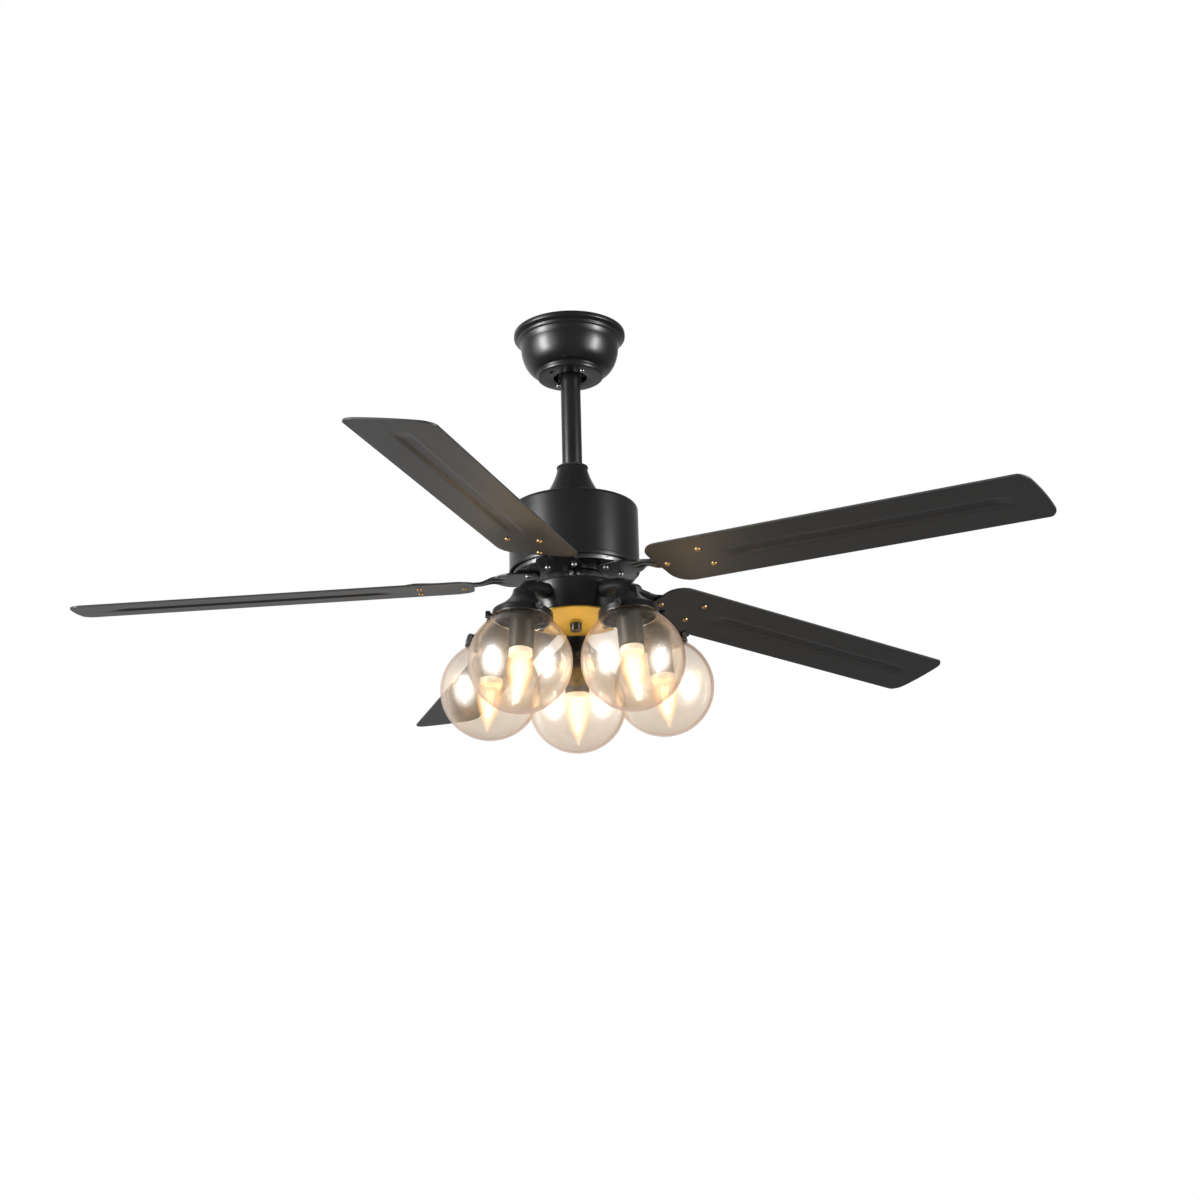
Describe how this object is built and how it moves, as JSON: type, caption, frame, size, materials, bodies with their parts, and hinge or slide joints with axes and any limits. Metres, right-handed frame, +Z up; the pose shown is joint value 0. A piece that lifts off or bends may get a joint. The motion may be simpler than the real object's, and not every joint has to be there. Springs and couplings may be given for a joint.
{
  "type": "ceiling fan with light",
  "caption": "Black ceiling fan on a short downrod: pitched blades on a spinning motor, and a light kit of amber glass globes with candle bulbs below.",
  "frame": {"origin": "where the fan axis meets the ceiling, on the top face of the hanger bracket", "axes": "+Z up along the fan axis; +Y away from the side that the rest pose is usually seen from"},
  "size_m": [1.2218, 1.2729, 0.5656],
  "materials": {
    "black_satin": "satin black powder coat",
    "blade_black": "matte black paint on pressed sheet",
    "zinc_steel": "zinc plated",
    "windings": "laminated steel with copper windings",
    "black_plastic": "moulded",
    "rubber": "matte",
    "amber_glass": "clear champagne tint",
    "bulb_glass": "clear candle envelope, lit"
  },
  "bodies": {
    "ceiling_mount": {"hanger_bracket": "zinc_steel", "canopy": "black_satin", "canopy_screw_1": "zinc_steel", "canopy_screw_2": "zinc_steel", "receiver": "black_plastic"},
    "hanging_motor": {"hanger_ball": "black_plastic", "ball_pin": "zinc_steel", "downrod": "black_satin", "yoke": "zinc_steel", "yoke_pin": "zinc_steel", "motor_housing": "black_satin", "motor_shaft": "zinc_steel", "stator": "windings", "upper_bearing": "zinc_steel", "lower_bearing": "zinc_steel", "light_adapter": "black_satin", "lamp_drum": "black_satin", "drum_cap": "black_satin", "finial_nut": "black_satin", "lamp_arm_1": "black_satin", "lamp_socket_1": "black_plastic", "bulb_1": "bulb_glass", "globe_1": "amber_glass", "lamp_arm_2": "black_satin", "lamp_socket_2": "black_plastic", "bulb_2": "bulb_glass", "globe_2": "amber_glass", "lamp_arm_3": "black_satin", "lamp_socket_3": "black_plastic", "bulb_3": "bulb_glass", "globe_3": "amber_glass", "lamp_arm_4": "black_satin", "lamp_socket_4": "black_plastic", "bulb_4": "bulb_glass", "globe_4": "amber_glass", "lamp_arm_5": "black_satin", "lamp_socket_5": "black_plastic", "bulb_5": "bulb_glass", "globe_5": "amber_glass"},
    "rotor": {"rotor_pan": "black_satin", "rotor_lid": "zinc_steel", "blade_bracket_1": "black_satin", "blade_1": "blade_black", "blade_bracket_2": "black_satin", "blade_2": "blade_black", "blade_bracket_3": "black_satin", "blade_3": "blade_black", "blade_bracket_4": "black_satin", "blade_4": "blade_black", "blade_bracket_5": "black_satin", "blade_5": "blade_black"},
    "coupling_cover": {"coupling_cover": "black_satin", "cover_grommet": "rubber"},
    "thumbscrew_1": {"thumbscrew_1": "black_satin"},
    "thumbscrew_2": {"thumbscrew_2": "black_satin"},
    "thumbscrew_3": {"thumbscrew_3": "black_satin"},
    "thumbscrew_4": {"thumbscrew_4": "black_satin"},
    "thumbscrew_5": {"thumbscrew_5": "black_satin"}
  },
  "joints": [
    {"name": "ball_swing", "type": "hinge", "parent": "ceiling_mount", "child": "hanging_motor", "pos_m": [0, 0, -0.04], "axis": [1, 0, 0], "range_deg": [-8, 8]},
    {"name": "rotor_spin", "type": "hinge", "parent": "hanging_motor", "child": "rotor", "pos_m": [0, 0, -0.3555], "axis": [0, 0, 1], "continuous": true},
    {"name": "cover_lift", "type": "slide", "parent": "hanging_motor", "child": "coupling_cover", "axis": [0, 0, 1], "range_m": [0, 0.06]},
    {"name": "thumbscrew_1_out", "type": "slide", "parent": "hanging_motor", "child": "thumbscrew_1", "axis": [-0.9981, 0.0026, 0.0614], "range_m": [0, 0.004]},
    {"name": "thumbscrew_2_out", "type": "slide", "parent": "hanging_motor", "child": "thumbscrew_2", "axis": [-0.3109, -0.9485, 0.0614], "range_m": [0, 0.004]},
    {"name": "thumbscrew_3_out", "type": "slide", "parent": "hanging_motor", "child": "thumbscrew_3", "axis": [0.806, -0.5888, 0.0614], "range_m": [0, 0.004]},
    {"name": "thumbscrew_4_out", "type": "slide", "parent": "hanging_motor", "child": "thumbscrew_4", "axis": [0.809, 0.5846, 0.0614], "range_m": [0, 0.004]},
    {"name": "thumbscrew_5_out", "type": "slide", "parent": "hanging_motor", "child": "thumbscrew_5", "axis": [-0.306, 0.9501, 0.0614], "range_m": [0, 0.004]}
  ]
}
